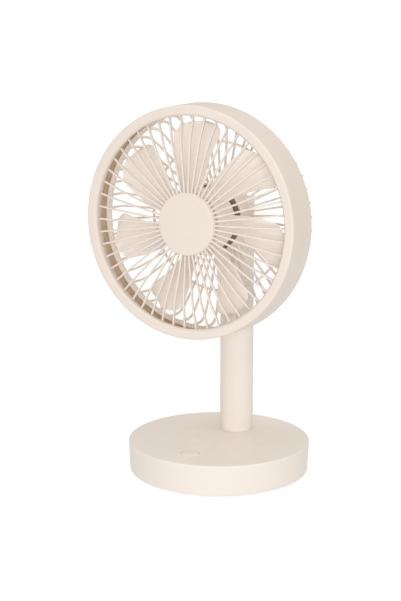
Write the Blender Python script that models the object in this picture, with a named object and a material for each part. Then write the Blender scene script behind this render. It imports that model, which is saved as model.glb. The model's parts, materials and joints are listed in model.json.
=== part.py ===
"""Desk fan: a round head on a post, standing on a round base.

The fan faces -Y and stands on z = 0, with the origin under the middle of the base.
The head tilts on a cross pin in the post's top, the post turns on the base, the impeller
spins about Y, and the power button travels down. The head's own profiles are given as
(radius, depth): radius from the impeller's axis, depth behind the plane of the front rim.
"""
import math

import bmesh
import bpy
from mathutils import Vector

MM = 0.001

# Where the axes stand, in millimetres
POST_Y = 37.3
PIVOT_Z = 246.7
RIM_Y = -65.0

# Head
HEAD_RADIUS = 105.0
HEAD_BACK_RADIUS = 107.3
DRUM_DEPTH = 40.0
DRUM_WALL = 2.4
OPENING_RADIUS = 96.4
GRILLE_HUB_RADIUS = 28.8
HUB_CAP_RADIUS = 28.2
RIB_COUNT = 50
FRONT_RIB_WIDTH = 1.7
REAR_RIB_WIDTH = 2.0
FRONT_RIB_PHASE = math.radians(0.9)
REAR_RIB_PHASE = math.radians(4.1)
REAR_PLATE_DEPTH = 68.0
REAR_PLATE_RADIUS = 34.0
REAR_CUP_DEPTH = 51.0
MOTOR_BRACKET_RADIUS = 30.5

# Impeller
BLADE_COUNT = 7
BLADE_PHASE = math.radians(-9.4)
BLADE_ROOT = 28.4
BLADE_TIP = 91.0
BLADE_MID_DEPTH = 23.5
BLADE_THICKNESS = 1.8
IMPELLER_HUB_RADIUS = 29.5
SHAFT_RADIUS = 1.5

# Post
POST_RADIUS = 16.3
POST_BORE = 13.8
POST_TOP = 226.4
EAR_GAP = 6.2
PIN_RADIUS = 2.5
TONGUE_HALF_WIDTH = 4.6

# Base
BASE_RADIUS = 87.7
BASE_FOOT_RADIUS = 86.4
BASE_HEIGHT = 29.8
BASE_WALL = 2.4
BASE_UNDERSIDE = 1.2
PLATE_TOP = 4.2
PLATE_RADIUS = 83.6
GAP = 0.3
TOOL_START = 0.11
SCREW_RING_RADIUS = 72.0
SCREW_ANGLES = [math.radians(a) for a in (30, 150, 210, 330)]
FOOT_RING_RADIUS = 68.0
FOOT_ANGLES = [math.radians(a) for a in (60, 120, 240, 300)]
BUTTON_Y = -57.0
BUTTON_RADIUS = 8.6
BUTTON_HOLE = 9.0
PORT_Z = 7.6

# Oscillation gears
GEAR_MODULE = 2.0
GEAR_TEETH = 24
PINION_TEETH = 8
GEAR_LOW = 20.0
GEAR_HIGH = 24.5
PRESSURE_ANGLE = math.radians(25)
ADDENDUM = 0.7
DEDENDUM = 0.95
BACKLASH = 0.4
CENTRE_DISTANCE = GEAR_MODULE * (GEAR_TEETH + PINION_TEETH) / 2 + 0.1
PINION_X = -CENTRE_DISTANCE


# Placing: each returns a function from a profile point and an angle to a place in millimetres

def upright(x=0.0, y=0.0):
    """A vertical axis through (x, y); profile points are (radius, z)."""
    return lambda radius, z, angle: (x + radius * math.cos(angle), y + radius * math.sin(angle), z)


def in_head(x=0.0, z=PIVOT_Z):
    """An axis along Y through (x, z); profile points are (radius, depth)."""
    return lambda radius, depth, angle: (x + radius * math.cos(angle), RIM_Y + depth,
                                         z + radius * math.sin(angle))


def across(y=POST_Y, z=PIVOT_Z):
    """An axis along X through (y, z); profile points are (radius, x)."""
    return lambda radius, x, angle: (x, y + radius * math.cos(angle), z + radius * math.sin(angle))


# Materials

def material(name, colour, roughness, metallic=0.0):
    """Return a new Principled material."""
    made = bpy.data.materials.new(name)
    made.use_nodes = True
    shader = made.node_tree.nodes["Principled BSDF"]
    shader.inputs["Base Color"].default_value = (*colour, 1.0)
    shader.inputs["Roughness"].default_value = roughness
    shader.inputs["Metallic"].default_value = metallic
    return made


CREAM = (0.78, 0.69, 0.60)
FINISHES = {
    "cream": (CREAM, 0.5, 0.0),
    "badge": ((0.80, 0.71, 0.63), 0.42, 0.0),
    "dark": ((0.05, 0.05, 0.055), 0.55, 0.0),
    "grey": ((0.35, 0.35, 0.36), 0.5, 0.0),
    "white": ((0.8, 0.8, 0.78), 0.4, 0.0),
    "steel": ((0.55, 0.56, 0.58), 0.3, 1.0),
    "copper": ((0.72, 0.32, 0.14), 0.35, 1.0),
    "board": ((0.03, 0.17, 0.07), 0.45, 0.0),
    "rubber": ((0.12, 0.11, 0.10), 0.8, 0.0),
    "wrap": ((0.06, 0.20, 0.45), 0.4, 0.0),
    "magnet": ((0.10, 0.10, 0.10), 0.6, 0.3),
}


def finish(object_name, kind):
    """Return the sub-part's own material in one of the finishes."""
    colour, roughness, metallic = FINISHES[kind]
    return material(object_name + "_material", colour, roughness, metallic)


# Mesh building

def standing_place(joint):
    """Where a joint's empty stands in the world."""
    place = Vector((0.0, 0.0, 0.0))
    while joint:
        place += joint.location
        joint = joint.parent
    return place


def make(name, points, faces, kind, joint=None, cutter=False):
    """Make an object from places in millimetres, with its origin on its joint's empty."""
    origin = standing_place(joint)
    mesh = bpy.data.meshes.new(name)
    mesh.from_pydata([Vector(p) * MM - origin for p in points], [], faces)
    built = bmesh.new()
    built.from_mesh(mesh)
    bmesh.ops.recalc_face_normals(built, faces=built.faces)
    built.to_mesh(mesh)
    built.free()
    mesh.shade_smooth()
    mesh.set_sharp_from_angle(angle=math.radians(30))
    thing = bpy.data.objects.new(name, mesh)
    bpy.context.scene.collection.objects.link(thing)
    thing.parent = joint
    if cutter:
        thing.hide_render = True
        thing.display_type = "WIRE"
    else:
        mesh.materials.append(finish(name, kind))
    return thing


def empty(name, place, parent=None):
    """An empty that stands on a joint's axis."""
    thing = bpy.data.objects.new(name, None)
    bpy.context.scene.collection.objects.link(thing)
    thing.parent = parent
    thing.location = Vector(place) * MM - standing_place(parent)
    return thing


def turned_mesh(profile, place, segments, start):
    """Points and faces of a closed profile turned about an axis; radius 0 is a pole."""
    points = []
    rows = []
    for radius, height in profile:
        if radius < 1e-6:
            rows.append([len(points)] * segments)
            points.append(place(0.0, height, 0.0))
            continue
        rows.append(list(range(len(points), len(points) + segments)))
        for k in range(segments):
            points.append(place(radius, height, start + 2 * math.pi * k / segments))
    faces = []
    for i, row in enumerate(rows):
        following = rows[(i + 1) % len(rows)]
        for k in range(segments):
            n = (k + 1) % segments
            corners = [row[k], row[n], following[n], following[k]]
            face = list(dict.fromkeys(corners))
            if len(face) > 2:
                faces.append(face)
    return points, faces


def turned(name, profile, place, kind, joint=None, segments=24, cutter=False):
    """A solid of revolution; a tool starts a little off the axes, so its corners miss other edges."""
    points, faces = turned_mesh(profile, place, segments, TOOL_START if cutter else 0.0)
    return make(name, points, faces, kind, joint, cutter)


def ring(inner, outer, low, high):
    """The profile of a plain ring."""
    return [(inner, low), (outer, low), (outer, high), (inner, high)]


def disc(radius, low, high):
    """The profile of a plain disc."""
    return [(0.0, low), (radius, low), (radius, high), (0.0, high)]


def screw_profile(head_radius, head_low, head_high, shank_radius, end):
    """A pan head with its shank; the shank runs from the head's far face to end."""
    chamfer = 0.25 * (head_high - head_low)
    return [(0.0, head_low), (head_radius - abs(chamfer), head_low), (head_radius, head_low + chamfer),
            (head_radius, head_high), (shank_radius, head_high), (shank_radius, end), (0.0, end)]


def extruded(name, outline, place, low, high, kind, joint=None, cutter=False):
    """An outline of (u, v) points pushed from low to high."""
    count = len(outline)
    points = [place(u, v, low) for u, v in outline] + [place(u, v, high) for u, v in outline]
    faces = [[k, (k + 1) % count, count + (k + 1) % count, count + k] for k in range(count)]
    faces.append(list(range(count)))
    faces.append(list(range(count, 2 * count)))
    return make(name, points, faces, kind, joint, cutter)


def flat(x=0.0, y=0.0):
    """Outline points lie level, and are pushed along Z."""
    return lambda u, v, height: (x + u, y + v, height)


def sideways(y=POST_Y, z=PIVOT_Z):
    """Outline points lie in the YZ plane, and are pushed along X."""
    return lambda u, v, height: (height, y + u, z + v)


def facing(x=0.0, z=PIVOT_Z):
    """Outline points face the front, and are pushed back along Y by their depth."""
    return lambda u, v, depth: (x + u, RIM_Y + depth, z + v)


def rounded_box(width, length, corner, steps=3):
    """The outline of a rectangle with round corners, centred on (0, 0)."""
    outline = []
    for quarter, (sx, sy) in enumerate(((1, 1), (-1, 1), (-1, -1), (1, -1))):
        for k in range(steps + 1):
            angle = math.pi / 2 * (quarter + k / steps)
            outline.append((sx * (width / 2 - corner) + corner * math.cos(angle),
                            sy * (length / 2 - corner) + corner * math.sin(angle)))
    return outline


def circle(radius, count, start=0.0, end=2 * math.pi, centre=(0.0, 0.0)):
    """Points of an arc, or of a whole circle without its repeated last point."""
    whole = abs(end - start - 2 * math.pi) < 1e-9
    steps = count if whole else count - 1
    return [(centre[0] + radius * math.cos(start + (end - start) * k / steps),
             centre[1] + radius * math.sin(start + (end - start) * k / steps)) for k in range(count)]


def combine(target, tool, operation):
    """Add a Boolean modifier with a hidden tool object."""
    step = target.modifiers.new(tool.name, "BOOLEAN")
    step.operation = operation
    step.object = tool
    step.solver = "EXACT"


def drill(target, number, place, radius, low, high, joint=None, segments=12):
    """Cut a round hole."""
    tool = turned(f"{target.name}_drill_{number}", disc(radius, low, high), place, None, joint,
                  segments=segments, cutter=True)
    combine(target, tool, "DIFFERENCE")


def spoked(name, rim, hub, stations, widths, phase, kind, joint, hoops=()):
    """One closed mesh of a rim, a hub and the ribs between them.

    rim and hub are closed profiles of (radius, depth). The ribs leave the rim's last edge
    and reach the hub's last edge. stations are (outer point, inner point) pairs between them,
    in the order from the rim to the hub, and hoops lists the stretches between two stations
    where a thin hoop joins each rib to the next.
    """
    place = in_head()
    points = []
    faces = []

    def add(radius, depth, angle):
        points.append(place(radius, depth, angle))
        return len(points) - 1

    def half_angle(radius, width):
        return math.asin(width / 2 / radius)

    middles = [phase + 2 * math.pi * k / RIB_COUNT for k in range(RIB_COUNT)]

    def sides(profile, width):
        """Two columns of profile points for each rib: its right side and its left side."""
        columns = []
        for middle in middles:
            for sign in (-1, 1):
                columns.append([add(r, d, middle + sign * half_angle(r, width)) if r > 0 else None
                                for r, d in profile])
        return columns

    rim_columns = sides(rim, widths[0])
    hub_columns = sides(hub, widths[1])
    for columns, profile in ((rim_columns, rim), (hub_columns, hub)):
        last = len(profile) - 1
        poles = {i: add(0.0, d, 0.0) for i, (r, d) in enumerate(profile) if r <= 0}
        for c, column in enumerate(columns):
            after = columns[(c + 1) % len(columns)]
            for i in range(len(profile)):
                j = (i + 1) % len(profile)
                if i == last and c % 2 == 0:
                    continue
                corners = [column[i] if i not in poles else poles[i],
                           after[i] if i not in poles else poles[i],
                           after[j] if j not in poles else poles[j],
                           column[j] if j not in poles else poles[j]]
                face = list(dict.fromkeys(corners))
                if len(face) > 2:
                    faces.append(face)

    loops = []
    for k, middle in enumerate(middles):
        right, left = rim_columns[2 * k], rim_columns[2 * k + 1]
        last = len(rim) - 1
        run = [[right[0], left[0], left[last], right[last]]]
        for s, (outer, inner) in enumerate(stations):
            share = (s + 1) / (len(stations) + 1)
            width = widths[0] + (widths[1] - widths[0]) * share
            loop = []
            for (r, d), signs in ((outer, (-1, 1)), (inner, (1, -1))):
                for sign in signs:
                    loop.append(add(r, d, middle + sign * half_angle(r, width)))
            run.append(loop)
        right, left = hub_columns[2 * k], hub_columns[2 * k + 1]
        last = len(hub) - 1
        run.append([right[0], left[0], left[last], right[last]])
        loops.append(run)

    for k, run in enumerate(loops):
        following = loops[(k + 1) % RIB_COUNT]
        for s in range(len(run) - 1):
            here, there = run[s], run[s + 1]
            for c in range(4):
                n = (c + 1) % 4
                if s in hoops and c in (1, 3):
                    continue
                faces.append([here[c], here[n], there[n], there[c]])
            if s in hoops:
                near, far = following[s], following[s + 1]
                faces.append([here[1], there[1], far[0], near[0]])
                faces.append([there[1], there[2], far[3], far[0]])
                faces.append([there[2], here[2], near[3], far[3]])
                faces.append([here[2], here[1], near[0], near[3]])
    return make(name, points, faces, kind, joint)


# Head

def front_shell(joint):
    """The drum, which widens to the back, and the flat front rim, moulded in one."""
    inner = HEAD_RADIUS - DRUM_WALL
    profile = [(OPENING_RADIUS, 1.0), (OPENING_RADIUS + 1.0, 0.0), (HEAD_RADIUS - 1.9, 0.0),
               (HEAD_RADIUS - 0.6, 0.5), (HEAD_RADIUS, 1.8), (HEAD_BACK_RADIUS, DRUM_DEPTH),
               (HEAD_BACK_RADIUS - DRUM_WALL, DRUM_DEPTH), (inner, DRUM_DEPTH - 4.0), (inner, 3.0),
               (OPENING_RADIUS + 2.0, 3.0), (OPENING_RADIUS + 2.0, 4.2), (OPENING_RADIUS, 4.2)]
    turned("front_shell", profile, in_head(), "cream", joint, segments=52)


def front_grille(joint):
    """Straight ribs from a rim behind the shell's lip to the hub plate."""
    hub_low, hub_high = 1.4, 5.2
    rim = [(95.6, 4.6), (102.2, 4.6), (102.2, 7.6), (95.6, 7.6)]
    hub = [(GRILLE_HUB_RADIUS, hub_low), (8.0, hub_low), (8.0, hub_high), (GRILLE_HUB_RADIUS, hub_high)]
    stations = [((88.0, 2.4), (88.0, 5.2)), ((76.0, 1.6), (76.0, 4.4))]
    spoked("front_grille", rim, hub, stations, (FRONT_RIB_WIDTH, 1.5), FRONT_RIB_PHASE, "cream", joint)


def hub_cap(joint):
    """The round plate in the middle of the front grille, with a plug into the hub's hole."""
    profile = [(0.0, -0.2), (HUB_CAP_RADIUS - 1.4, 0.0), (HUB_CAP_RADIUS, 0.8), (HUB_CAP_RADIUS, 1.1),
               (7.6, 1.1), (7.6, 4.2), (0.0, 4.2)]
    turned("hub_cap", profile, in_head(), "badge", joint, segments=36)


def rear_grille(joint):
    """A basket of ribs: a collar inside the drum, round corners and a cup around the motor's bracket."""
    collar = [(99.4, 34.0), (99.2, 24.0), (102.2, 24.0), (102.2, 34.0)]
    back = REAR_PLATE_DEPTH
    cup_outer = REAR_PLATE_RADIUS - 0.7
    cup_inner = MOTOR_BRACKET_RADIUS + 0.6
    hub = [(REAR_PLATE_RADIUS, back), (16.0, back), (16.0, back - 3.0), (cup_inner, back - 3.0),
           (cup_inner, REAR_CUP_DEPTH), (cup_outer, REAR_CUP_DEPTH), (cup_outer, back - 3.6),
           (REAR_PLATE_RADIUS, back - 3.0)]
    stations = [((102.4, 48.0), (99.4, 47.0)), ((98.6, 56.4), (96.2, 54.0)),
                ((71.6, 64.2), (71.2, 61.4)), ((69.4, 64.6), (69.0, 61.8))]
    rim = [collar[3], collar[2], collar[1], collar[0]]
    return spoked("rear_grille", rim, hub, stations, (REAR_RIB_WIDTH, 1.9), REAR_RIB_PHASE, "cream",
                  joint, hoops=(3,))


MOTOR_SCREW_RADIUS = 25.0
MOTOR_SCREW_ANGLES = [math.radians(a) for a in (90, 210, 330)]


def motor_screw_place(angle):
    """The axis of one motor screw."""
    return in_head(MOTOR_SCREW_RADIUS * math.cos(angle), PIVOT_Z + MOTOR_SCREW_RADIUS * math.sin(angle))


def motor_bracket(joint):
    """The plate and bearing tube that carry the motor, fixed to the rear grille's plate."""
    outer = MOTOR_BRACKET_RADIUS
    profile = [(5.3, 18.5), (8.0, 18.5), (8.0, 45.0), (outer, 45.0), (outer, 64.6), (21.0, 64.6),
               (21.0, 60.6), (outer - 2.5, 60.6), (outer - 2.5, 47.4), (5.3, 47.4)]
    bracket = turned("motor_bracket", profile, in_head(), "grey", joint)
    for number, angle in enumerate(MOTOR_SCREW_ANGLES):
        drill(bracket, number, motor_screw_place(angle), 1.75, 58.0, 66.0, joint)


def motor_screws(joint):
    """Three screws from behind the rear grille's plate into the motor bracket."""
    profile = screw_profile(2.7, REAR_PLATE_DEPTH + 2.2, REAR_PLATE_DEPTH + GAP, 1.45, 61.0)
    for number, angle in enumerate(MOTOR_SCREW_ANGLES):
        turned(f"motor_screw_{number + 1}", profile, motor_screw_place(angle), "steel", joint, segments=12)


def stator_core(joint):
    """A laminated core with nine poles."""
    poles = 9
    outline = []
    for k in range(poles):
        middle = 2 * math.pi * k / poles
        for radius, offset in ((12.5, -12), (19.5, -7), (19.5, -15), (22.2, -15), (22.2, 15),
                               (19.5, 15), (19.5, 7), (12.5, 12)):
            angle = middle + math.radians(offset)
            outline.append((radius * math.cos(angle), radius * math.sin(angle)))
    core = extruded("stator_core", outline, facing(), 25.0, 35.0, "steel", joint)
    drill(core, 0, in_head(), 8.3, 20.0, 40.0, joint, segments=24)


def stator_windings(joint):
    """The coils' end turns, in front of the core and behind it."""
    for name, low in (("winding_front", 20.7), ("winding_rear", 35.3)):
        profile = [(10.5, low + 1.5), (12.5, low), (17.5, low), (19.5, low + 1.5), (17.5, low + 4.0),
                   (12.5, low + 4.0)]
        turned(name, profile, in_head(), "copper", joint, segments=18)


def motor_parts(joint):
    """The bearings, the driver board and the clip that keeps the shaft."""
    for name, low in (("front_bearing", 19.0), ("rear_bearing", 42.6)):
        turned(name, ring(SHAFT_RADIUS + GAP, 5.0, low, low + 4.0), in_head(), "steel", joint, segments=20)
    turned("motor_board", ring(9.0, 22.0, 41.4, 42.8), in_head(), "board", joint, segments=24)


def rear_cover(joint):
    """The dome behind the motor and the tongue that hangs the head on its pin."""
    front = REAR_PLATE_DEPTH + GAP
    profile = [(33.2, front), (33.2, 71.6), (31.4, 74.6), (24.0, 77.6), (0.0, 78.6), (0.0, 76.0),
               (23.0, 75.2), (29.2, 72.6), (30.4, front)]
    cover = turned("rear_cover", profile, in_head(), "cream", joint, segments=32)
    reach = POST_Y - RIM_Y - 77.4
    arc = circle(9.0, 13, -math.pi * 0.5, math.pi * 0.5)
    outline = [(-reach, -13.0)] + arc + [(-reach, 13.0)]
    tongue = extruded("tongue_block", outline, sideways(), -TONGUE_HALF_WIDTH, TONGUE_HALF_WIDTH, None,
                      joint, cutter=True)
    combine(cover, tongue, "UNION")
    hole = turned("tongue_drill", disc(PIN_RADIUS + GAP, -8.0, 8.0), across(), None, joint, segments=24,
                  cutter=True)
    combine(cover, hole, "DIFFERENCE")


# Impeller

def blade_section(share):
    """Half chord angle, middle angle, depth extent and reach for a place along the blade."""
    radius = BLADE_ROOT + (BLADE_TIP - BLADE_ROOT) * share
    rounding = max(0.0, (share - 0.80) / 0.20)
    width = math.radians(15.0) * math.sqrt(max(0.0, 1.0 - (rounding * 0.93) ** 2.6))
    middle = math.radians(9.6 - 0.235 * (radius - 29.0))
    rise = 15.0 - 5.0 * share
    return radius, width, middle, rise


BLADE_SHARES = (0.0, 0.33, 0.66, 0.86, 0.95, 1.0)
BLADE_CHORD = (-1.0, -0.4, 0.4, 1.0)


def blade_points(phase):
    """Front and back grids of one blade, with a slight hollow in its front face."""
    place = in_head()
    grids = []
    for side in (-1, 1):
        grid = []
        for share in BLADE_SHARES:
            radius, width, middle, rise = blade_section(share)
            row = []
            for chord in BLADE_CHORD:
                depth = BLADE_MID_DEPTH - chord * rise / 2 + 1.4 * (1 - chord * chord) * (1 - 0.4 * share)
                thinning = 1.0 - 0.35 * chord * chord
                depth += side * BLADE_THICKNESS / 2 * thinning
                row.append(place(radius, depth, phase + middle + chord * width))
            grid.append(row)
        grids.append(grid)
    return grids


def impeller_blade(number, phase, joint):
    """One swept and twisted blade, as a tool for the hub's union."""
    front, back = blade_points(phase)
    rows, columns = len(BLADE_SHARES), len(BLADE_CHORD)
    points = [p for row in front for p in row] + [p for row in back for p in row]
    half = rows * columns

    def at(side, r, c):
        return side * half + r * columns + c

    faces = []
    for side in (0, 1):
        for r in range(rows - 1):
            for c in range(columns - 1):
                faces.append([at(side, r, c), at(side, r, c + 1), at(side, r + 1, c + 1), at(side, r + 1, c)])
    rim = [(0, c) for c in range(columns)] + [(r, columns - 1) for r in range(1, rows)]
    rim += [(rows - 1, c) for c in range(columns - 2, -1, -1)] + [(r, 0) for r in range(rows - 2, 0, -1)]
    for (r0, c0), (r1, c1) in zip(rim, rim[1:] + rim[:1]):
        faces.append([at(0, r0, c0), at(0, r1, c1), at(1, r1, c1), at(1, r0, c0)])
    return make(f"blade_{number}", points, faces, None, joint, cutter=True)


def impeller(joint):
    """A cup-shaped hub and seven blades."""
    outer = IMPELLER_HUB_RADIUS
    profile = [(3.4, 12.0), (outer - 2.5, 12.0), (outer - 0.7, 12.8), (outer, 14.6), (outer, 40.0),
               (outer - 2.1, 40.0), (outer - 2.1, 14.2), (3.4, 14.2)]
    hub = turned("impeller", profile, in_head(), "cream", joint, segments=35)
    for number in range(BLADE_COUNT):
        phase = BLADE_PHASE + 2 * math.pi * number / BLADE_COUNT
        combine(hub, impeller_blade(number + 1, phase, joint), "UNION")


def rotor(joint):
    """The steel bell, its magnet ring, the shaft and the cap nut, all turning with the impeller."""
    bell = [(SHAFT_RADIUS + GAP, 14.5), (27.0, 14.5), (27.0, 38.5), (25.8, 38.5), (25.8, 15.7),
            (SHAFT_RADIUS + GAP, 15.7)]
    turned("rotor_bell", bell, in_head(), "steel", joint)
    turned("rotor_magnet", ring(22.9, 25.5, 20.0, 37.0), in_head(), "magnet", joint)
    turned("motor_shaft", disc(SHAFT_RADIUS, 9.6, 48.6), in_head(), "steel", joint, segments=16)
    turned("shaft_clip", ring(SHAFT_RADIUS + GAP, 3.4, 47.7, 48.5), in_head(), "steel", joint, segments=16)
    nut = [(0.0, 7.0), (3.0, 7.2), (6.0, 8.9), (6.6, 11.7), (SHAFT_RADIUS + GAP, 11.7),
           (SHAFT_RADIUS + GAP, 9.3), (0.0, 9.3)]
    turned("impeller_nut", nut, in_head(), "cream", joint, segments=18)


# Post

def post_tube(joint):
    """The plain tube between the base and the fork."""
    profile = [(POST_BORE, BASE_HEIGHT + GAP), (POST_RADIUS - 0.4, BASE_HEIGHT + GAP),
               (POST_RADIUS, BASE_HEIGHT + GAP + 0.4), (POST_RADIUS, POST_TOP), (POST_BORE, POST_TOP)]
    turned("post_tube", profile, upright(0.0, POST_Y), "cream", joint, segments=32)


def post_fork(joint):
    """The round-topped fork that takes the head's tongue between two ears."""
    top = PIVOT_Z + 25.0
    profile = [(5.0, POST_TOP - 18.0), (POST_BORE - GAP, POST_TOP - 18.0), (POST_BORE - GAP, POST_TOP + GAP),
               (POST_RADIUS, POST_TOP + GAP), (POST_RADIUS, top), (5.0, top)]
    fork = turned("post_fork", profile, upright(0.0, POST_Y), "cream", joint, segments=32)
    crown = 17.0
    dome = [(-20.0, -60.0), (20.0, -60.0), (20.0, 0.0)]
    dome += circle(crown, 13, 0.0, math.pi) + [(-20.0, 0.0)]
    keep = extruded("fork_envelope", dome, sideways(), -20.0, 20.0, None, joint, cutter=True)
    combine(fork, keep, "INTERSECT")
    slot = [(-30.0, 14.5), (-30.0, -15.0), (-4.0, -15.0)]
    slot += circle(10.6, 9, -math.pi * 0.5, 0.0) + [(10.6, 30.0), (-30.0, 30.0)]
    cut = extruded("fork_slot", slot, sideways(), -EAR_GAP, EAR_GAP, None, joint, cutter=True)
    combine(fork, cut, "DIFFERENCE")
    hole = turned("fork_drill", disc(PIN_RADIUS + GAP, -20.0, 20.0), across(), None, joint, segments=24,
                  cutter=True)
    combine(fork, hole, "DIFFERENCE")


def tilt_pin_and_washers(joint):
    """The cross pin and the friction washers on both sides of the tongue."""
    length = 15.4
    pin = [(0.0, -length), (PIN_RADIUS - 0.5, -length), (PIN_RADIUS, -length + 0.5),
           (PIN_RADIUS, length - 0.5), (PIN_RADIUS - 0.5, length), (0.0, length)]
    turned("tilt_pin", pin, across(), "steel", joint, segments=20)
    low = TONGUE_HALF_WIDTH + GAP
    high = EAR_GAP - GAP
    for name, ends in (("friction_washer_left", (-high, -low)), ("friction_washer_right", (low, high))):
        turned(name, ring(PIN_RADIUS + GAP, 8.4, *ends), across(), "white", joint, segments=20)


def post_foot(joint):
    """The stub that carries the post in its bush, and the ring that keeps it down."""
    outer = POST_BORE - GAP
    profile = [(9.0, 13.0), (outer, 13.0), (outer, 58.0), (9.0, 58.0)]
    turned("post_foot", profile, upright(0.0, POST_Y), "grey", joint)
    turned("retaining_ring", ring(POST_BORE, 17.0, 18.2, GEAR_LOW - GAP), upright(0.0, POST_Y), "steel",
           joint, segments=24)


# Oscillation drive

def gear_outline(teeth, phase):
    """The outline of a spur gear with involute flanks."""
    pitch_radius = GEAR_MODULE * teeth / 2
    base_radius = pitch_radius * math.cos(PRESSURE_ANGLE)
    tip = pitch_radius + ADDENDUM * GEAR_MODULE
    root = pitch_radius - DEDENDUM * GEAR_MODULE
    half_tooth = math.pi / (2 * teeth) - BACKLASH / (4 * pitch_radius)

    def involute(radius):
        lean = math.acos(min(1.0, base_radius / radius))
        return math.tan(lean) - lean

    start = max(base_radius, root)
    flank = []
    steps = 1
    for k in range(steps + 1):
        radius = start + (tip - start) * k / steps
        flank.append((radius, half_tooth + involute(pitch_radius) - involute(radius)))
    outline = []
    for tooth in range(teeth):
        middle = phase + 2 * math.pi * tooth / teeth
        rising = [(root, -flank[0][1] - 0.02)] + [(r, -a) for r, a in flank]
        falling = [(r, a) for r, a in reversed(flank)] + [(root, flank[0][1] + 0.02)]
        for radius, angle in rising + falling:
            outline.append((radius * math.cos(middle + angle), radius * math.sin(middle + angle)))
    return outline


def bored_gear(name, teeth, phase, bore_radius, x, kind, joint):
    """A spur gear with a round bore."""
    gear = extruded(name, gear_outline(teeth, phase), flat(x, POST_Y), GEAR_LOW, GEAR_HIGH, kind, joint)
    drill(gear, 0, upright(x, POST_Y), bore_radius, GEAR_LOW - 1.0, GEAR_HIGH + 1.0, joint, segments=20)


def oscillation_drive(post_joint, pinion_joint):
    """The gear on the post's foot, the pinion that turns it and its geared motor."""
    bored_gear("swivel_gear", GEAR_TEETH, 0.0, POST_BORE, 0.0, "white", post_joint)
    bored_gear("drive_pinion", PINION_TEETH, math.pi / PINION_TEETH, 2.3, PINION_X, "white", pinion_joint)
    turned("drive_shaft", disc(2.0, 17.9, 25.4), upright(PINION_X, POST_Y), "steel", pinion_joint,
           segments=16)
    motor = [(0.0, PLATE_TOP + GAP), (13.4, PLATE_TOP + GAP), (14.0, PLATE_TOP + GAP + 0.6), (14.0, 16.9),
             (13.4, 17.5), (0.0, 17.5)]
    turned("swivel_motor", motor, upright(PINION_X, POST_Y), "steel")


# Base

def base_shell():
    """The round cover: side wall and top, with the post's hole, the button's hole and bosses."""
    under = BASE_HEIGHT - BASE_WALL
    foot = BASE_UNDERSIDE + 0.2
    profile = [(0.0, under), (82.6, under), (84.6, under - 2.0), (BASE_FOOT_RADIUS - 2.4, foot),
               (BASE_FOOT_RADIUS - 0.5, foot), (BASE_FOOT_RADIUS, foot + 0.5),
               (BASE_RADIUS, BASE_HEIGHT - 1.3), (BASE_RADIUS - 0.4, BASE_HEIGHT - 0.4),
               (BASE_RADIUS - 1.3, BASE_HEIGHT), (0.0, BASE_HEIGHT)]
    shell = turned("base_shell", profile, upright(), "cream", segments=48)
    for number, angle in enumerate(SCREW_ANGLES):
        place = upright(SCREW_RING_RADIUS * math.cos(angle), SCREW_RING_RADIUS * math.sin(angle))
        boss = turned(f"screw_boss_{number}", ring(1.7, 4.0, PLATE_TOP + GAP, under + 0.8), place, None,
                      segments=12, cutter=True)
        combine(shell, boss, "UNION")
    for number, x in enumerate((-10.0, 10.0)):
        place = upright(x, BUTTON_Y + 9.0)
        boss = turned(f"button_boss_{number}", disc(2.2, 15.9, under + 0.8), place, None, segments=10,
                      cutter=True)
        combine(shell, boss, "UNION")
    drill(shell, 0, upright(0.0, POST_Y), 16.0, under - 1.0, BASE_HEIGHT + 1.0, segments=28)
    drill(shell, 1, upright(0.0, BUTTON_Y), BUTTON_HOLE, under - 1.0, BASE_HEIGHT + 1.0, segments=24)
    slot = extruded("port_slot", rounded_box(9.8, 3.9, 1.9), lambda u, v, h: (u, h, PORT_Z + v), 80.0, 90.0,
                    None, cutter=True)
    combine(shell, slot, "DIFFERENCE")


def base_plate():
    """The bottom plate with counterbored screw holes."""
    plate = turned("base_plate", disc(PLATE_RADIUS, BASE_UNDERSIDE, PLATE_TOP), upright(), "cream",
                   segments=40)
    for number, angle in enumerate(SCREW_ANGLES):
        place = upright(SCREW_RING_RADIUS * math.cos(angle), SCREW_RING_RADIUS * math.sin(angle))
        drill(plate, number, place, 1.7, 0.0, 5.0, segments=8)
        drill(plate, number + 4, place, 3.1, 0.0, 3.1, segments=8)
        turned(f"base_screw_{number + 1}", screw_profile(2.7, 1.4, 2.8, 1.3, 14.0), place, "steel",
               segments=12)
    for number, angle in enumerate(FOOT_ANGLES):
        place = upright(FOOT_RING_RADIUS * math.cos(angle), FOOT_RING_RADIUS * math.sin(angle))
        pad = [(0.0, 0.0), (6.6, 0.0), (7.0, 0.3), (7.0, BASE_UNDERSIDE - GAP), (0.0, BASE_UNDERSIDE - GAP)]
        turned(f"rubber_foot_{number + 1}", pad, place, "rubber", segments=16)


def swivel_bush():
    """The flanged bush in the base's top, in which the post turns."""
    under = BASE_HEIGHT - BASE_WALL
    profile = [(POST_BORE, GEAR_HIGH + GAP), (20.0, GEAR_HIGH + GAP), (20.0, under - GAP),
               (15.7, under - GAP), (15.7, BASE_HEIGHT - 0.1), (POST_BORE, BASE_HEIGHT - 0.1)]
    turned("swivel_bush", profile, upright(0.0, POST_Y), "white")


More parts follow.
